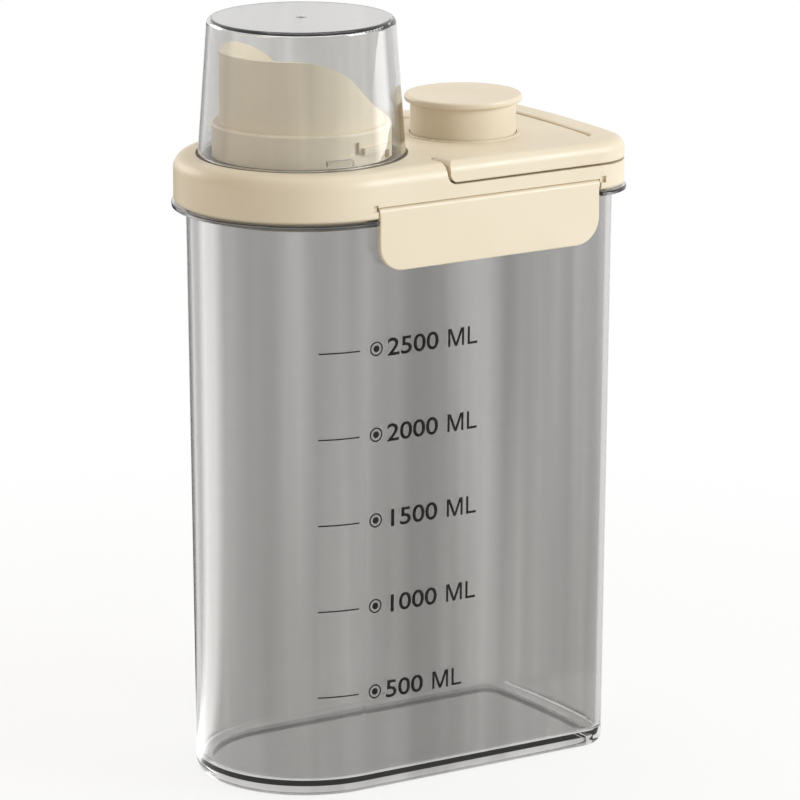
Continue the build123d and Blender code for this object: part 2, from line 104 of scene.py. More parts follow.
# %% World
scene.view_settings.view_transform = "Standard"


def larger_of(tree, first, second):
    """A node that passes on the larger of two values."""
    larger = tree.nodes.new("ShaderNodeMath")
    larger.operation = "MAXIMUM"
    tree.links.new(first, larger.inputs[0])
    tree.links.new(second, larger.inputs[1])
    return larger.outputs[0]


def seen_directly(tree):
    """A value of 1 for rays that look straight at a surface, in a mirror or through glass."""
    path = tree.nodes.new("ShaderNodeLightPath")
    mirrored = larger_of(tree, path.outputs["Is Camera Ray"], path.outputs["Is Glossy Ray"])
    return larger_of(tree, mirrored, path.outputs["Is Transmission Ray"])


world = bpy.data.worlds.new("studio")
scene.world = world
world.use_nodes = True
tree = world.node_tree
tree.nodes.clear()
even_light = tree.nodes.new("ShaderNodeBackground")
even_light.inputs["Color"].default_value = (1.0, 0.91, 0.78, 1.0)
even_light.inputs["Strength"].default_value = 0.34
white_room = tree.nodes.new("ShaderNodeBackground")
white_room.inputs["Color"].default_value = (1.0, 1.0, 1.0, 1.0)
white_room.inputs["Strength"].default_value = 1.0
mix = tree.nodes.new("ShaderNodeMixShader")
out = tree.nodes.new("ShaderNodeOutputWorld")
tree.links.new(seen_directly(tree), mix.inputs[0])
tree.links.new(even_light.outputs[0], mix.inputs[1])
tree.links.new(white_room.outputs[0], mix.inputs[2])
tree.links.new(mix.outputs[0], out.inputs["Surface"])
print("world set: even light", even_light.inputs["Strength"].default_value)

# %% [markdown]
# ## The floor
#
# Close to the bucket the floor is a real matt surface, so it takes the shadow.
# Further away it fades into plain white, which hides its far edge. The fade
# follows the distance on the floor, so it is the same from every side.

# %% Floor
FLOOR_HALF_SIZE = 4.0
SHADOW_REACH = (0.16, 0.55)
WHITE_AT_FOOT = 0.75

floor_shape = bmesh.new()
bmesh.ops.create_grid(floor_shape, x_segments=1, y_segments=1, size=FLOOR_HALF_SIZE)
floor_mesh = bpy.data.meshes.new("floor")
floor_shape.to_mesh(floor_mesh)
floor_shape.free()
floor = bpy.data.objects.new("floor", floor_mesh)
scene.collection.objects.link(floor)

floor_paint = bpy.data.materials.new("pale_floor")
floor_paint.use_nodes = True
tree = floor_paint.node_tree
matt = tree.nodes["Principled BSDF"]
matt.inputs["Base Color"].default_value = (0.93, 0.93, 0.93, 1.0)
matt.inputs["Roughness"].default_value = 0.9
matt.inputs["Specular IOR Level"].default_value = 0.1
glow = tree.nodes.new("ShaderNodeEmission")
place = tree.nodes.new("ShaderNodeTexCoord")
distance = tree.nodes.new("ShaderNodeVectorMath")
distance.operation = "LENGTH"
fade = tree.nodes.new("ShaderNodeMapRange")
fade.interpolation_type = "SMOOTHSTEP"
fade.inputs["From Min"].default_value = SHADOW_REACH[0]
fade.inputs["From Max"].default_value = SHADOW_REACH[1]
fade.inputs["To Min"].default_value = WHITE_AT_FOOT
looked_at = tree.nodes.new("ShaderNodeMath")
looked_at.operation = "MULTIPLY"
mix = tree.nodes.new("ShaderNodeMixShader")
tree.links.new(place.outputs["Object"], distance.inputs[0])
tree.links.new(distance.outputs["Value"], fade.inputs["Value"])
tree.links.new(fade.outputs["Result"], looked_at.inputs[0])
tree.links.new(seen_directly(tree), looked_at.inputs[1])
tree.links.new(looked_at.outputs[0], mix.inputs[0])
tree.links.new(matt.outputs[0], mix.inputs[1])
tree.links.new(glow.outputs[0], mix.inputs[2])
tree.links.new(mix.outputs[0], tree.nodes["Material Output"].inputs["Surface"])
floor_mesh.materials.append(floor_paint)
print("floor laid, half size", FLOOR_HALF_SIZE, "m")

# %% [markdown]
# ## The lamps
#
# One large soft lamp stands at the front right, so the flat front is the
# brightest side and the round end turns darker towards the left. Another hangs
# above, a weak warm one fills the left, and one behind keeps the back clear.

# %% Lamps


def softbox(name, place, aim, size, watts, tint=(1.0, 1.0, 1.0)):
    """A rectangular area lamp, turned towards a point."""
    data = bpy.data.lights.new(name, "AREA")
    data.shape = "RECTANGLE"
    data.size, data.size_y = size
    data.energy = watts
    data.color = tint
    lamp = bpy.data.objects.new(name, data)
    scene.collection.objects.link(lamp)
    lamp.location = place
    lamp.rotation_euler = (Vector(place) - Vector(aim)).to_track_quat("Z", "Y").to_euler()
    return lamp


bucket_middle = (0.0, 0.0, 0.2)
key_place, key_size, key_tint = (1.5, -1.75, 1.1), (1.1, 1.1), (0.88, 0.94, 1.0)
key = softbox("key_right", key_place, bucket_middle, key_size, 48.0, key_tint)
softbox("top", (0.2, 0.2, 1.7), bucket_middle, (1.2, 1.0), 7.5)
softbox("fill_left", (-1.8, -0.5, 0.9), bucket_middle, (0.8, 0.8), 4.0, (1.0, 0.88, 0.72))
softbox("fill_back", (-0.7, 2.1, 1.0), bucket_middle, (1.2, 1.0), 16.0, (1.0, 0.97, 0.92))

# %% [markdown]
# Seen from behind at a low angle, the flat rim of the tub is a mirror for the
# strong lamp, and it would burn out to plain white. So that lamp lights all but
# the tub, and a weak twin in the same place gives the tub its glint.

# %% Glint for the tub


def linked_to(name, state="INCLUDE"):
    """A collection of one solid, for a lamp that lights it alone or leaves it out."""
    linked = bpy.data.collections.new("light_on_" + name)
    linked.objects.link(nodes[name])
    linked.collection_objects[0].light_linking.link_state = state
    return linked


key.light_linking.receiver_collection = linked_to("tub", "EXCLUDE")
glint = softbox("key_glint", key_place, bucket_middle, key_size, 6.0, key_tint)
glint.light_linking.receiver_collection = linked_to("tub")
print("glint lamp set for the tub")

# %% [markdown]
# ## Streaks for the clear walls
#
# A clear round wall needs something bright to mirror, or it looks like grey
# film. Seen from above, an upright wall mirrors the floor in front of it and
# never a lamp that stands far off. So the bright things are glowing wedges that
# lie on the floor and point away from the round end: in the wall, each becomes
# one soft upright streak from top to bottom. Each is linked to one clear solid
# and hidden from all rays but reflections, so it lights nothing else.

# %% Shape of a wedge
ROUND_X = -0.039533
JUST_ABOVE_FLOOR = 0.0005
WEDGE_STEPS = 24


def floor_wedge(name, turn, half_angle, radii):
    """A flat sector on the floor, around the axis of the round end."""
    shape = bmesh.new()
    ends = [shape.verts.new((radius, 0.0, 0.0)) for radius in radii]
    side = shape.edges.new(ends)
    bmesh.ops.spin(
        shape, geom=ends + [side], cent=(0.0, 0.0, 0.0), axis=(0.0, 0.0, 1.0),
        angle=2 * half_angle, steps=WEDGE_STEPS,
    )
    place = Matrix.Translation((ROUND_X, 0.0, JUST_ABOVE_FLOOR))
    turned = Matrix.Rotation(turn - half_angle, 4, "Z")
    bmesh.ops.transform(shape, matrix=place @ turned, verts=shape.verts[:])
    mesh = bpy.data.meshes.new(name)
    shape.to_mesh(mesh)
    shape.free()
    wedge = bpy.data.objects.new(name, mesh)
    scene.collection.objects.link(wedge)
    wedge.visible_camera = False
    wedge.visible_diffuse = False
    wedge.visible_transmission = False
    wedge.visible_shadow = False
    return wedge


print("wedges turn around x =", ROUND_X)

# %% [markdown]
# A wedge is strongest along its middle line and fades out towards its sides, so
# that the streak has soft edges. The angle comes from the arctangent of the
# place on the floor, around the axis of the round end.

# %% Fade across a wedge
CORE_SHARE = 0.3


def across(tree, turn, half_angle, at_sides, in_middle):
    """A value that goes from the sides of a wedge to its middle line."""
    place = tree.nodes.new("ShaderNodeTexCoord")
    centred = tree.nodes.new("ShaderNodeMapping")
    centred.vector_type = "TEXTURE"
    centred.inputs["Location"].default_value = (ROUND_X, 0.0, 0.0)
    centred.inputs["Rotation"].default_value = (0.0, 0.0, turn)
    split = tree.nodes.new("ShaderNodeSeparateXYZ")
    angle = tree.nodes.new("ShaderNodeMath")
    angle.operation = "ARCTAN2"
    off_middle = tree.nodes.new("ShaderNodeMath")
    off_middle.operation = "ABSOLUTE"
    fade = tree.nodes.new("ShaderNodeMapRange")
    fade.interpolation_type = "SMOOTHSTEP"
    fade.inputs["From Min"].default_value = half_angle
    fade.inputs["From Max"].default_value = half_angle * CORE_SHARE
    fade.inputs["To Min"].default_value = at_sides
    fade.inputs["To Max"].default_value = in_middle
    tree.links.new(place.outputs["Object"], centred.inputs["Vector"])
    tree.links.new(centred.outputs["Vector"], split.inputs["Vector"])
    tree.links.new(split.outputs["Y"], angle.inputs[0])
    tree.links.new(split.outputs["X"], angle.inputs[1])
    tree.links.new(angle.outputs[0], off_middle.inputs[0])
    tree.links.new(off_middle.outputs[0], fade.inputs["Value"])
    return fade.outputs["Result"]


print("full strength over", CORE_SHARE, "of a wedge")

# %% [markdown]
# The glow is added to what lies below it, so a solid that a wedge isn't linked
# to sees plain floor.

# %% Glow of a wedge


def bare_material(name):
    """A material with an empty node tree, and its output socket."""
    made = bpy.data.materials.new(name)
    made.use_nodes = True
    made.node_tree.nodes.clear()
    out = made.node_tree.nodes.new("ShaderNodeOutputMaterial")
    return made, made.node_tree, out.inputs["Surface"]


def wedge_glow(name, turn, half_angle, brightest):
    """A glow that is added to the floor below it."""
    made, tree, surface = bare_material(name)
    light = tree.nodes.new("ShaderNodeEmission")
    below = tree.nodes.new("ShaderNodeBsdfTransparent")
    both = tree.nodes.new("ShaderNodeAddShader")
    tree.links.new(across(tree, turn, half_angle, 0.0, brightest), light.inputs["Strength"])
    tree.links.new(light.outputs[0], both.inputs[0])
    tree.links.new(below.outputs[0], both.inputs[1])
    tree.links.new(both.outputs[0], surface)
    return made


for name, mirror, turn, half_angle, radii, brightest in (
    ("streak_left", "tub", 133.0, 22.0, (0.05, 1.8), 3.4),
    ("streak_right", "measuring_cup", -16.0, 20.0, (0.16, 3.4), 5.0),
):
    turn, half_angle = math.radians(turn), math.radians(half_angle)
    wedge = floor_wedge(name, turn, half_angle, radii)
    wedge.data.materials.append(wedge_glow(name, turn, half_angle, brightest))
    wedge.light_linking.receiver_collection = linked_to(mirror)
    print("wedge laid:", name, "for", mirror)

# %% [markdown]
# One more wedge is dark and lies behind the round end. Right at its edge a round
# wall mirrors what is behind it, so the dark wedge becomes a thin grey line that
# sets the plastic off against the white room.

# %% Shade of a wedge
SHADE_TURN, SHADE_HALF_ANGLE = math.radians(84.0), math.radians(16.0)
SHADE_RADII = (0.06, 3.4)

shade, tree, surface = bare_material("shade_left")
below = tree.nodes.new("ShaderNodeBsdfTransparent")
white_kept = across(tree, SHADE_TURN, SHADE_HALF_ANGLE, 1.0, 0.0)
tree.links.new(white_kept, below.inputs["Color"])
tree.links.new(below.outputs[0], surface)
dark_wedge = floor_wedge("shade_left", SHADE_TURN, SHADE_HALF_ANGLE, SHADE_RADII)
dark_wedge.data.materials.append(shade)
print("dark wedge laid:", dark_wedge.name)

# %% [markdown]
# ## Two shared surface effects
#
# Moulded plastic is never one even colour. The skin of a matt moulding has a
# fine grain from the mould, broad soft changes of shade, and patches that are
# a little more polished by hands. We build that once as a node group, and each
# matt material gives it its own sizes.

# %% Moulded skin


def new_group(name, inputs, outputs):
    """An empty shader node group with float sockets."""
    group = bpy.data.node_groups.new(name, "ShaderNodeTree")
    for label, value in inputs:
        socket = group.interface.new_socket(label, in_out="INPUT", socket_type="NodeSocketFloat")
        socket.default_value = value
    for label in outputs:
        group.interface.new_socket(label, in_out="OUTPUT", socket_type="NodeSocketFloat")
    return group, group.nodes.new("NodeGroupInput"), group.nodes.new("NodeGroupOutput")


def noise_mask(tree, vector, scale, detail, low, high):
    """Noise that is stretched to a mask from 0 to 1. The scale is a number or a socket."""
    noise = tree.nodes.new("ShaderNodeTexNoise")
    noise.inputs["Detail"].default_value = detail
    if isinstance(scale, (int, float)):
        noise.inputs["Scale"].default_value = scale
    else:
        tree.links.new(scale, noise.inputs["Scale"])
    tree.links.new(vector, noise.inputs["Vector"])
    spread = tree.nodes.new("ShaderNodeMapRange")
    spread.interpolation_type = "SMOOTHSTEP"
    spread.inputs["From Min"].default_value = low
    spread.inputs["From Max"].default_value = high
    tree.links.new(noise.outputs["Fac"], spread.inputs["Value"])
    return spread.outputs["Result"]


moulded_skin, given, wanted = new_group(
    "moulded_skin",
    [("Grain Scale", 1400.0), ("Shade Scale", 16.0), ("Polish Scale", 55.0)],
    ["Shade", "Polish", "Grain"],
)
place = moulded_skin.nodes.new("ShaderNodeTexCoord").outputs["Object"]
for label, detail, low, high in (
    ("Shade", 3.0, 0.34, 0.66),
    ("Polish", 4.0, 0.35, 0.68),
    ("Grain", 2.0, 0.25, 0.75),
):
    scale = given.outputs[label + " Scale"]
    mask = noise_mask(moulded_skin, place, scale, detail, low, high)
    moulded_skin.links.new(mask, wanted.inputs[label])
print("group made:", moulded_skin.name)

# %% [markdown]
# Clear plastic flows up a deep mould in the direction of its walls, and that
# leaves very faint upright streaks and waves. Handling adds smudges that only
# show in the gloss. The streaks are noise that is stretched along Z: they are
# flow marks, and with far apart tints they also paint upright reflections. They
# fade on level faces, such as the tub's floor, where the flow spreads evenly, and
# a level value takes their place there, which a finish can set low to darken its
# level faces as painted shade.

# %% Flow streaks
STRETCH_ALONG_WALL = 0.03
WAVE_SCALE = 34.0
LEVEL_FROM, UPRIGHT_FROM = 0.9, 0.3

flow_and_painted_reflection_streaks, given, wanted = new_group(
    "flow_and_painted_reflection_streaks",
    [("Streak Scale", 90.0), ("Smudge Scale", 40.0), ("Level Painted Shade", 0.6)],
    ["Streak", "Smudge", "Wave"],
)
surface = flow_and_painted_reflection_streaks.nodes.new("ShaderNodeTexCoord")
place = surface.outputs["Object"]
stretch = flow_and_painted_reflection_streaks.nodes.new("ShaderNodeMapping")
stretch.inputs["Scale"].default_value = (1.0, 1.0, STRETCH_ALONG_WALL)
flow_and_painted_reflection_streaks.links.new(place, stretch.inputs["Vector"])
drawn_out = stretch.outputs["Vector"]
streak = noise_mask(
    flow_and_painted_reflection_streaks, drawn_out, given.outputs["Streak Scale"], detail=3.0, low=0.36, high=0.64,
)
facing = flow_and_painted_reflection_streaks.nodes.new("ShaderNodeSeparateXYZ")
level = flow_and_painted_reflection_streaks.nodes.new("ShaderNodeMath")
level.operation = "ABSOLUTE"
upright = flow_and_painted_reflection_streaks.nodes.new("ShaderNodeMapRange")
upright.inputs["From Min"].default_value = LEVEL_FROM
upright.inputs["From Max"].default_value = UPRIGHT_FROM
# On level faces the mix takes the group's level value: a low one is painted shade that darkens
# them.
streak_and_painted_level_shade = flow_and_painted_reflection_streaks.nodes.new("ShaderNodeMix")
flow_and_painted_reflection_streaks.links.new(given.outputs["Level Painted Shade"], streak_and_painted_level_shade.inputs["A"])
flow_and_painted_reflection_streaks.links.new(surface.outputs["Normal"], facing.inputs["Vector"])
flow_and_painted_reflection_streaks.links.new(facing.outputs["Z"], level.inputs[0])
flow_and_painted_reflection_streaks.links.new(level.outputs[0], upright.inputs["Value"])
flow_and_painted_reflection_streaks.links.new(upright.outputs["Result"], streak_and_painted_level_shade.inputs["Factor"])
flow_and_painted_reflection_streaks.links.new(streak, streak_and_painted_level_shade.inputs["B"])
smudge = noise_mask(
    flow_and_painted_reflection_streaks, place, given.outputs["Smudge Scale"], detail=5.0, low=0.55, high=0.85,
)
wave = noise_mask(flow_and_painted_reflection_streaks, drawn_out, WAVE_SCALE, detail=1.0, low=0.2, high=0.8)
flow_and_painted_reflection_streaks.links.new(streak_and_painted_level_shade.outputs["Result"], wanted.inputs["Streak"])
flow_and_painted_reflection_streaks.links.new(smudge, wanted.inputs["Smudge"])
flow_and_painted_reflection_streaks.links.new(wave, wanted.inputs["Wave"])
print("group made:", flow_and_painted_reflection_streaks.name)

# %% [markdown]
# ## The finishes
#
# Every finish is made in the same way: one mask blends two close colours, one
# mask blends two values of roughness, and one height feeds a bump. A small
# helper does the wiring, so that each finish is only its own numbers. Values
# that are the same all over are set on the shader itself.

# %% Wiring a finish


def finish(name, group, values, masks, colors, roughness, bump):
    """A material whose colour, roughness and bump come from the masks of a group."""
    made = bpy.data.materials.new(name)
    made.use_nodes = True
    tree = made.node_tree
    shader = tree.nodes["Principled BSDF"]
    effect = tree.nodes.new("ShaderNodeGroup")
    effect.node_tree = group
    for label, value in values.items():
        effect.inputs[label].default_value = value
    color = tree.nodes.new("ShaderNodeMix")
    color.data_type = "RGBA"
    color.inputs["A"].default_value = (*colors[0], 1.0)
    color.inputs["B"].default_value = (*colors[1], 1.0)
    tree.links.new(effect.outputs[masks[0]], color.inputs["Factor"])
    tree.links.new(color.outputs["Result"], shader.inputs["Base Color"])
    gloss = tree.nodes.new("ShaderNodeMapRange")
    gloss.inputs["To Min"].default_value, gloss.inputs["To Max"].default_value = roughness
    tree.links.new(effect.outputs[masks[1]], gloss.inputs["Value"])
    tree.links.new(gloss.outputs["Result"], shader.inputs["Roughness"])
    relief = tree.nodes.new("ShaderNodeBump")
    relief.inputs["Strength"].default_value, relief.inputs["Distance"].default_value = bump
    tree.links.new(effect.outputs[masks[2]], relief.inputs["Height"])
    tree.links.new(relief.outputs["Normal"], shader.inputs["Normal"])
    print("finish made:", name)
    return made, shader


SKIN = ("Shade", "Polish", "Grain")
FLOW = ("Streak", "Smudge", "Wave")
print("masks:", SKIN, "and", FLOW)

# %% [markdown]
# The lid, the latches, the handle and the knob are one beige plastic. It is
# satin: matt enough to hide finger marks, and smooth enough that the large
# lamps leave a soft sheen. The grain is only a few hundredths of a millimetre.

# %% Beige plastic
PLASTIC_IOR = 1.49

beige, shader = finish(
    "satin_beige", moulded_skin,
    {"Grain Scale": 1500.0, "Shade Scale": 14.0, "Polish Scale": 60.0}, SKIN,
    colors=[(0.740, 0.643, 0.485), (0.772, 0.675, 0.516)],
    roughness=(0.44, 0.36), bump=(0.10, 0.00006),
)
shader.inputs["IOR"].default_value = PLASTIC_IOR

# %% [markdown]
# The tub and the cup are clear and hard. Real sheets of this plastic lose a
# little light at each wall. The tub's much darker grey is painted shade, for the
# dark surroundings that its walls show, so it looks smoky where we see through
# two of them. The thin cup stays almost colourless, apart from its flat top,
# which is darkened as painted shade.
# A renderer treats such a wall as solid when it looks for the lamps, and the
# inside would turn too dark, so for those rays the wall simply lets light pass.

# %% Clear plastic
PASSED_LIGHT = (0.88, 0.88, 0.87, 1.0)


def make_clear(made, shader):
    """Turn a finish into clear plastic that also lets the light of the lamps in."""
    shader.inputs["Transmission Weight"].default_value = 1.0
    shader.inputs["IOR"].default_value = PLASTIC_IOR
    tree = made.node_tree
    passing = tree.nodes.new("ShaderNodeBsdfTransparent")
    passing.inputs["Color"].default_value = PASSED_LIGHT
    path = tree.nodes.new("ShaderNodeLightPath")
    choice = tree.nodes.new("ShaderNodeMixShader")
    tree.links.new(path.outputs["Is Shadow Ray"], choice.inputs[0])
    tree.links.new(shader.outputs[0], choice.inputs[1])
    tree.links.new(passing.outputs[0], choice.inputs[2])
    tree.links.new(choice.outputs[0], tree.nodes["Material Output"].inputs["Surface"])


# Painted shade and reflection: the tub's two grey tints stand in for the dark surroundings seen
# through its walls, and the streaks between them paint upright reflections as well as flow marks.
tub_clear_painted_shade, shader = finish(
    "clear_plastic_tub_painted_shade", flow_and_painted_reflection_streaks, {"Streak Scale": 30.0, "Smudge Scale": 36.0}, FLOW,
    colors=[(0.45, 0.444, 0.435), (0.66, 0.654, 0.645)],
    roughness=(0.0, 0.025), bump=(0.06, 0.0004),
)
make_clear(tub_clear_painted_shade, shader)

# Painted shade: the cup's level value of 0 gives its flat top the darker tint.
cup_clear_painted_top_shade, shader = finish(
    "clear_plastic_cup_painted_top_shade", flow_and_painted_reflection_streaks,
    {"Streak Scale": 60.0, "Smudge Scale": 60.0, "Level Painted Shade": 0.0}, FLOW,
    colors=[(0.64, 0.633, 0.622), (0.79, 0.786, 0.778)],
    roughness=(0.0, 0.02), bump=(0.05, 0.0003),
)
make_clear(cup_clear_painted_top_shade, shader)

# %% [markdown]
# The seals are milky silicone, dull and a little dusty. Only the flat ring that
# the cup stands on is dark, as painted shade for the shadow at the cup's foot,
# and it shows through the clear foot as a fine dark line. The rods, pins and the
# spring inside the lid are drawn steel wire with a fine, uneven shine.

# %% Silicone and steel
silicone, _ = finish(
    "milky_silicone", moulded_skin,
    {"Grain Scale": 900.0, "Shade Scale": 40.0, "Polish Scale": 120.0}, SKIN,
    colors=[(0.70, 0.69, 0.66), (0.78, 0.775, 0.75)],
    roughness=(0.68, 0.55), bump=(0.15, 0.0001),
)
# Painted shade: this ring's dark colours stand in for the shadow at the cup's foot.
silicone_painted_shadow, _ = finish(
    "silicone_painted_shadow", moulded_skin,
    {"Grain Scale": 900.0, "Shade Scale": 40.0, "Polish Scale": 120.0}, SKIN,
    colors=[(0.085, 0.070, 0.052), (0.120, 0.100, 0.076)],
    roughness=(0.68, 0.55), bump=(0.15, 0.0001),
)
steel, shader = finish(
    "drawn_steel", moulded_skin,
    {"Grain Scale": 2600.0, "Shade Scale": 80.0, "Polish Scale": 300.0}, SKIN,
    colors=[(0.50, 0.50, 0.51), (0.60, 0.60, 0.61)],
    roughness=(0.36, 0.24), bump=(0.2, 0.00005),
)
shader.inputs["Metallic"].default_value = 1.0

# %% [markdown]
# The record names a material slot for every solid, so the slot decides the
# finish. Two solids differ from the rest of their slot: the cup is clearer than
# the tub, which carries more painted shade, and the ring under the cup is dark
# as painted shade for the shadow at its foot.

# %% Dress the solids
finish_of_slot = {
    "clear_plastic": tub_clear_painted_shade,
    "beige_plastic": beige,
    "silicone": silicone,
    "steel": steel,
}
finish_of_node = {"measuring_cup": cup_clear_painted_top_shade, "cup_seal": silicone_painted_shadow}
for part in frame["record"]["subparts"]:
    name = part["node"]
    mesh = nodes[name].data
    mesh.materials.clear()
    mesh.materials.append(finish_of_node.get(name, finish_of_slot[part["material_slot"]]))
print("solids dressed:", len(nodes))

# %% [markdown]
# ## The volume scale
#
# The tub carries a printed scale: for each half litre a line on the round end,
# a dot in a ring, and the number. Screen printing leaves a thin, slightly
# uneven film of black ink. We model it as real film, a few hundredths of a
# millimetre thick, because a film keeps its place on the wall in every view.

# %% Printing ink
ink, shader = finish(
    "black_ink", moulded_skin,
    {"Grain Scale": 2200.0, "Shade Scale": 500.0, "Polish Scale": 700.0}, SKIN,
    colors=[(0.006, 0.006, 0.006), (0.016, 0.015, 0.015)],
    roughness=(0.8, 0.6), bump=(0.2, 0.00003),
)
shader.inputs["Specular IOR Level"].default_value = 0.12

# %% [markdown]
# The walls of the tub lean outwards by a small draft, so that it leaves its
# mould. The print follows them: a helper gives the wall's distance from the
# middle line at a height, and another gives the matrix that lays a flat mark
# on the leaning front.

# %% The leaning wall
DRAFT = math.radians(0.6)
RIM_UNDER_Z = 0.2387
WALL_AT_RIM = 0.0481
INK = 0.00004
INK_LIFT = 0.00002
SAME_PLACE = 0.000002


def wall_out(z):
    """How far the front wall, and the round end, stand out at a height."""
    return WALL_AT_RIM - (RIM_UNDER_Z - z) * math.tan(DRAFT)


def on_front(x, z):
    """The matrix that lays a mark, drawn flat in XY, on the front of the tub."""
    along = Vector((1.0, 0.0, 0.0))
    upward = Vector((0.0, -math.sin(DRAFT), math.cos(DRAFT)))
    outward = along.cross(upward)
    place = Vector((x, -wall_out(z), z)) + outward * INK_LIFT
    columns = (along, upward, outward)
    turned = Matrix([[column[row] for column in columns] for row in range(3)]).to_4x4()
    return Matrix.Translation(place) @ turned


def thicken(shape, faces):
    """Raise flat faces into a closed film."""
    raised = bmesh.ops.extrude_face_region(shape, geom=faces, use_keep_orig=True)
    moved = [item for item in raised["geom"] if isinstance(item, bmesh.types.BMVert)]
    bmesh.ops.translate(shape, verts=moved, vec=(0.0, 0.0, INK))


print("wall stands out", round(wall_out(0.0) * 1000, 2), "to", round(WALL_AT_RIM * 1000, 2), "mm")

# %% [markdown]
# A ring is a circle that is extruded and shrunk towards its middle. The dot in
# it is a plain small disc. The line is a small upright rectangle that is
# spun around the axis of the round end, so it bends with the wall.

# %% Rings, dots and lines
RING_RADIUS = 0.0030
RING_LINE = 0.0006
DOT_RADIUS = 0.0014
LINE_HEIGHT = 0.00055
LINE_START = 0.0030
LINE_END = 0.0205
DOT_X = -0.0348
RING_SIDES, DOT_SIDES, LINE_STEPS = 64, 40, 18


def printed_ring(shape):
    """A flat ring with a dot in its middle."""
    bmesh.ops.create_circle(shape, cap_ends=False, segments=RING_SIDES, radius=RING_RADIUS)
    grown = bmesh.ops.extrude_edge_only(shape, edges=shape.edges[:])["geom"]
    inner = [item for item in grown if isinstance(item, bmesh.types.BMVert)]
    shrink = 1.0 - RING_LINE / RING_RADIUS
    bmesh.ops.scale(shape, verts=inner, vec=(shrink, shrink, 1.0))
    bmesh.ops.create_circle(shape, cap_ends=True, segments=DOT_SIDES, radius=DOT_RADIUS)
    thicken(shape, shape.faces[:])


def printed_line(shape, z):
    """A line around part of the round end, at one height."""
    out = wall_out(z) + INK_LIFT
    corner = bmesh.ops.create_vert(shape, co=(ROUND_X, -out, z - LINE_HEIGHT / 2))["vert"][0]
    side = bmesh.ops.extrude_vert_indiv(shape, verts=[corner])
    bmesh.ops.translate(shape, verts=side["verts"], vec=(0.0, 0.0, LINE_HEIGHT))
    face = bmesh.ops.extrude_edge_only(shape, edges=side["edges"])["geom"]
    corners = [item for item in face if isinstance(item, bmesh.types.BMVert)]
    bmesh.ops.translate(shape, verts=corners, vec=(0.0, -INK, 0.0))
    middle = (ROUND_X, 0.0, z)
    turn_to_start = Matrix.Rotation(-LINE_START / out, 3, "Z")
    bmesh.ops.rotate(shape, verts=shape.verts[:], cent=middle, matrix=turn_to_start)
    everything = shape.verts[:] + shape.edges[:] + shape.faces[:]
    sweep = -(LINE_END - LINE_START) / out
    bmesh.ops.spin(
        shape, geom=everything, cent=middle, axis=(0.0, 0.0, 1.0),
        angle=sweep, steps=LINE_STEPS,
    )
    bmesh.ops.recalc_face_normals(shape, faces=shape.faces[:])


print("a line is", round((LINE_END - LINE_START) * 1000, 1), "mm long")

# %% [markdown]
# The digits come from Blender's own lettering. A text object is drawn once and
# turned into a mesh, a little swollen, because the print is bolder than the
# letters. Swelling spoils the sharp corners of an M, so the two letters of the
# unit are drawn as outlines, in shares of the height of a capital.

# %% Digits and unit
CAPITAL_HEIGHT = 0.0074
LETTER_SWELL = 0.012
DIGITS_X = -0.0295
DIGITS_END_X = -0.0051
UNIT_GAP = 0.0046
LETTER_GAP = 0.0017
LETTER_STEPS = 6
OUTLINES = {
    "M": [
        (0.0, 0.0), (0.0, 1.0), (0.21, 1.0), (0.52, 0.20), (0.83, 1.0), (1.04, 1.0), (1.04, 0.0),
        (0.90, 0.0), (0.90, 0.77), (0.60, 0.0), (0.44, 0.0), (0.14, 0.77), (0.14, 0.0),
    ],
    "L": [(0.0, 0.0), (0.0, 1.0), (0.145, 1.0), (0.145, 0.13), (0.64, 0.13), (0.64, 0.0)],
}


def reach(shape, axis):
    """The lowest and highest place of a bmesh along one axis."""
    places = [vert.co[axis] for vert in shape.verts]
    return min(places), max(places)


def drawn_digits(words):
    """A bmesh of flat digits, in text units, with its left end at x = 0 and centred on y = 0."""
    curve = bpy.data.curves.new("digits", "FONT")
    curve.body = words
    curve.resolution_u = LETTER_STEPS
    curve.offset = LETTER_SWELL
    carrier = bpy.data.objects.new("digits", curve)
    scene.collection.objects.link(carrier)
    graph = bpy.context.evaluated_depsgraph_get()
    drawn = bpy.data.meshes.new_from_object(carrier.evaluated_get(graph))
    shape = bmesh.new()
    shape.from_mesh(drawn)
    bpy.data.objects.remove(carrier)
    bpy.data.curves.remove(curve)
    bpy.data.meshes.remove(drawn)
    left = reach(shape, 0)[0]
    low, high = reach(shape, 1)
    bmesh.ops.translate(shape, verts=shape.verts[:], vec=(-left, -(low + high) / 2, 0.0))
    return shape


sample = drawn_digits("2500")
text_stretch = (
    (DIGITS_END_X - DIGITS_X) / reach(sample, 0)[1],
    CAPITAL_HEIGHT / (reach(sample, 1)[1] * 2),
    1.0,
)
sample.free()
print("digits stretched by", [round(v, 5) for v in text_stretch])

# %% [markdown]
# The long numbers end below one another, so a narrow first digit moves their
# start. The short number starts where the widest one does. The unit follows
# after a small gap.

# %% Numbers


def printed_digits(shape, words):
    """Flat digits at the height of the print, raised into a film."""
    drawn = drawn_digits(words)
    bmesh.ops.scale(drawn, verts=drawn.verts[:], vec=text_stretch)
    bmesh.ops.remove_doubles(drawn, verts=drawn.verts[:], dist=SAME_PLACE)
    carrier = bpy.data.meshes.new("digits")
    drawn.to_mesh(carrier)
    drawn.free()
    shape.from_mesh(carrier)
    bpy.data.meshes.remove(carrier)
    thicken(shape, shape.faces[:])


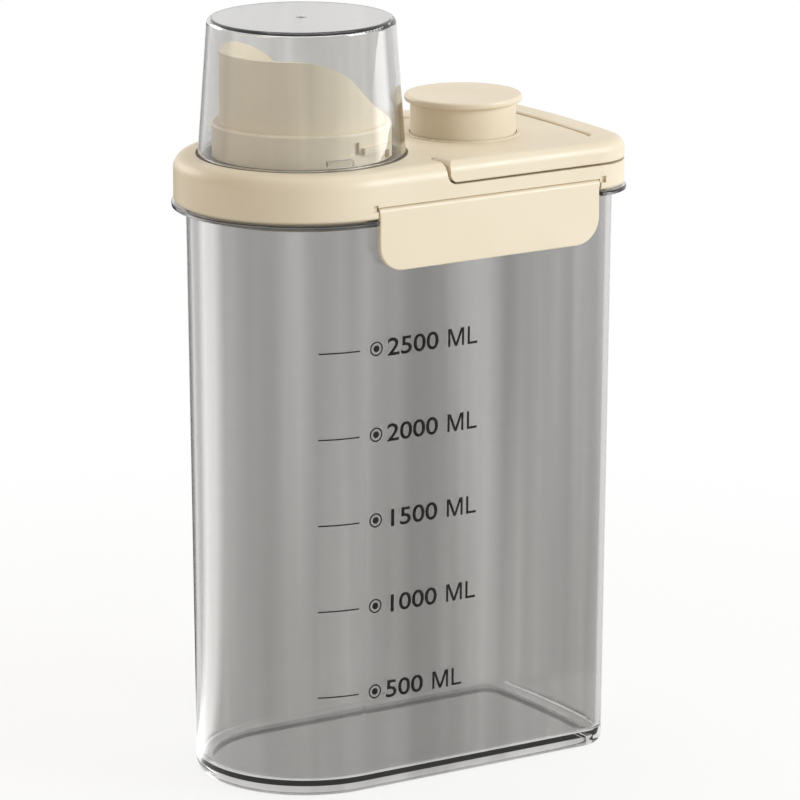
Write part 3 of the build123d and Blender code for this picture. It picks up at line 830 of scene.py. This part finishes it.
def printed_unit(shape):
    """The two letters of the unit, side by side, raised into a film."""
    start = 0.0
    for outline in OUTLINES.values():
        corners = [
            shape.verts.new((start + x * CAPITAL_HEIGHT, (y - 0.5) * CAPITAL_HEIGHT, 0.0))
            for x, y in outline
        ]
        shape.faces.new(corners)
        start += max(x for x, y in outline) * CAPITAL_HEIGHT + LETTER_GAP
    bmesh.ops.triangulate(shape, faces=shape.faces[:])
    thicken(shape, shape.faces[:])


def digits_width(words):
    """How long a number is on the tub."""
    drawn = drawn_digits(words)
    width = reach(drawn, 0)[1] * text_stretch[0]
    drawn.free()
    return width


print("widest number", round(digits_width("2500") * 1000, 1), "mm")

# %% [markdown]
# Each mark is one piece of print on the tub: line, ring, dot and number are
# joined in one mesh, placed in the shared frame, and ride with the tub.

# %% Print the five marks
MARKS = {
    "500": 0.0427, "1000": 0.0791, "1500": 0.1153, "2000": 0.1512, "2500": 0.1869,
}
LONG_NUMBER = 4


def add_part(mesh, make, matrix=None):
    """Make one part of a mark in its own bmesh and add it to the mark's mesh."""
    shape = bmesh.new()
    make(shape)
    bmesh.ops.recalc_face_normals(shape, faces=shape.faces[:])
    if matrix is not None:
        bmesh.ops.transform(shape, matrix=matrix, verts=shape.verts[:])
    shape.from_mesh(mesh)
    shape.to_mesh(mesh)
    shape.free()


for volume, z in MARKS.items():
    mesh = bpy.data.meshes.new("mark_" + volume)
    add_part(mesh, printed_ring, on_front(DOT_X, z))
    add_part(mesh, lambda shape: printed_line(shape, z))
    width = digits_width(volume)
    start = DIGITS_END_X - width if len(volume) == LONG_NUMBER else DIGITS_X
    add_part(mesh, lambda shape: printed_digits(shape, volume), on_front(start, z))
    add_part(mesh, printed_unit, on_front(start + width + UNIT_GAP, z))
    mesh.materials.append(ink)
    mark = bpy.data.objects.new("mark_" + volume, mesh)
    scene.collection.objects.link(mark)
    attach(mark, "tub")
    print("mark printed:", volume, len(mesh.polygons), "faces")

# %% [markdown]
# ## The gate mark on the cup
#
# A clear cup is filled with hot plastic through its middle, and when the feed
# is broken off a small nub stays in a shallow dimple. It is a short spun
# profile, and it sits on the top of the turned-over cup.

# %% Gate nub
NUB_PROFILE = [
    (0.0, 0.00055), (0.0007, 0.00048), (0.0011, 0.00018), (0.0019, 0.00008), (0.0021, 0.00001),
]
NUB_STEPS = 32

cup_low, cup_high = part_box("measuring_cup")
cup_axis = Vector(((cup_low[0] + cup_high[0]) / 2, (cup_low[1] + cup_high[1]) / 2, cup_high[2]))
shape = bmesh.new()
corners = [shape.verts.new((x, 0.0, z)) for x, z in NUB_PROFILE]
profile = [shape.edges.new(pair) for pair in zip(corners, corners[1:])]
bmesh.ops.spin(
    shape, geom=corners + profile, cent=(0.0, 0.0, 0.0), axis=(0.0, 0.0, 1.0),
    angle=2 * math.pi, steps=NUB_STEPS, use_merge=True,
)
bmesh.ops.remove_doubles(shape, verts=shape.verts[:], dist=SAME_PLACE)
rim = [edge for edge in shape.edges if edge.is_boundary]
bmesh.ops.holes_fill(shape, edges=rim, sides=0)
bmesh.ops.recalc_face_normals(shape, faces=shape.faces[:])
bmesh.ops.translate(shape, verts=shape.verts[:], vec=cup_axis)
mesh = bpy.data.meshes.new("gate_nub")
shape.to_mesh(mesh)
shape.free()
mesh.shade_smooth()
mesh.materials.append(cup_clear_painted_top_shade)
nub = bpy.data.objects.new("gate_nub", mesh)
scene.collection.objects.link(nub)
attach(nub, "cup")
print("gate nub made at", [round(v, 4) for v in cup_axis])

# %% [markdown]
# ## The spring under the knob
#
# The knob is pushed back up by a steel coil that stands hidden in the pump. A
# rigid coil would stick through the knob when that is pressed. We wind our own
# one in place of the solid: a small circle is spun eight times around the axis
# while it climbs, and the coil rides with the lid.

# %% Pump spring
COIL_TURNS = 8
STEPS_PER_TURN = 30
WIRE_RADIUS = 0.0006
WIRE_SIDES = 14

coil_low, coil_high = (Vector(corner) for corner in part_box("pump_spring"))
coil_radius = (coil_high.x - coil_low.x) / 2 - WIRE_RADIUS
coil_axis = Vector(((coil_low.x + coil_high.x) / 2, (coil_low.y + coil_high.y) / 2, 0.0))
coil_climb = coil_high.z - coil_low.z - 2 * WIRE_RADIUS
coil_steps = COIL_TURNS * STEPS_PER_TURN
shape = bmesh.new()
bmesh.ops.create_circle(shape, cap_ends=False, segments=WIRE_SIDES, radius=WIRE_RADIUS)
stand_up = Matrix.Rotation(math.pi / 2, 4, "X")
to_start = Matrix.Translation(coil_axis + Vector((coil_radius, 0.0, coil_low.z + WIRE_RADIUS)))
bmesh.ops.transform(shape, matrix=to_start @ stand_up, verts=shape.verts[:])
bmesh.ops.spin(
    shape, geom=shape.verts[:] + shape.edges[:], cent=coil_axis, axis=(0.0, 0.0, 1.0),
    dvec=(0.0, 0.0, coil_climb / coil_steps), angle=2 * math.pi * COIL_TURNS, steps=coil_steps,
)
open_ends = [edge for edge in shape.edges if edge.is_boundary]
bmesh.ops.holes_fill(shape, edges=open_ends, sides=0)
bmesh.ops.recalc_face_normals(shape, faces=shape.faces[:])
mesh = bpy.data.meshes.new("pump_coil")
shape.to_mesh(mesh)
shape.free()
mesh.shade_smooth()
mesh.materials.append(steel)
coil = bpy.data.objects.new("pump_coil", mesh)
scene.collection.objects.link(coil)
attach(coil, "lid")
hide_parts("pump_spring")
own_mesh(coil)
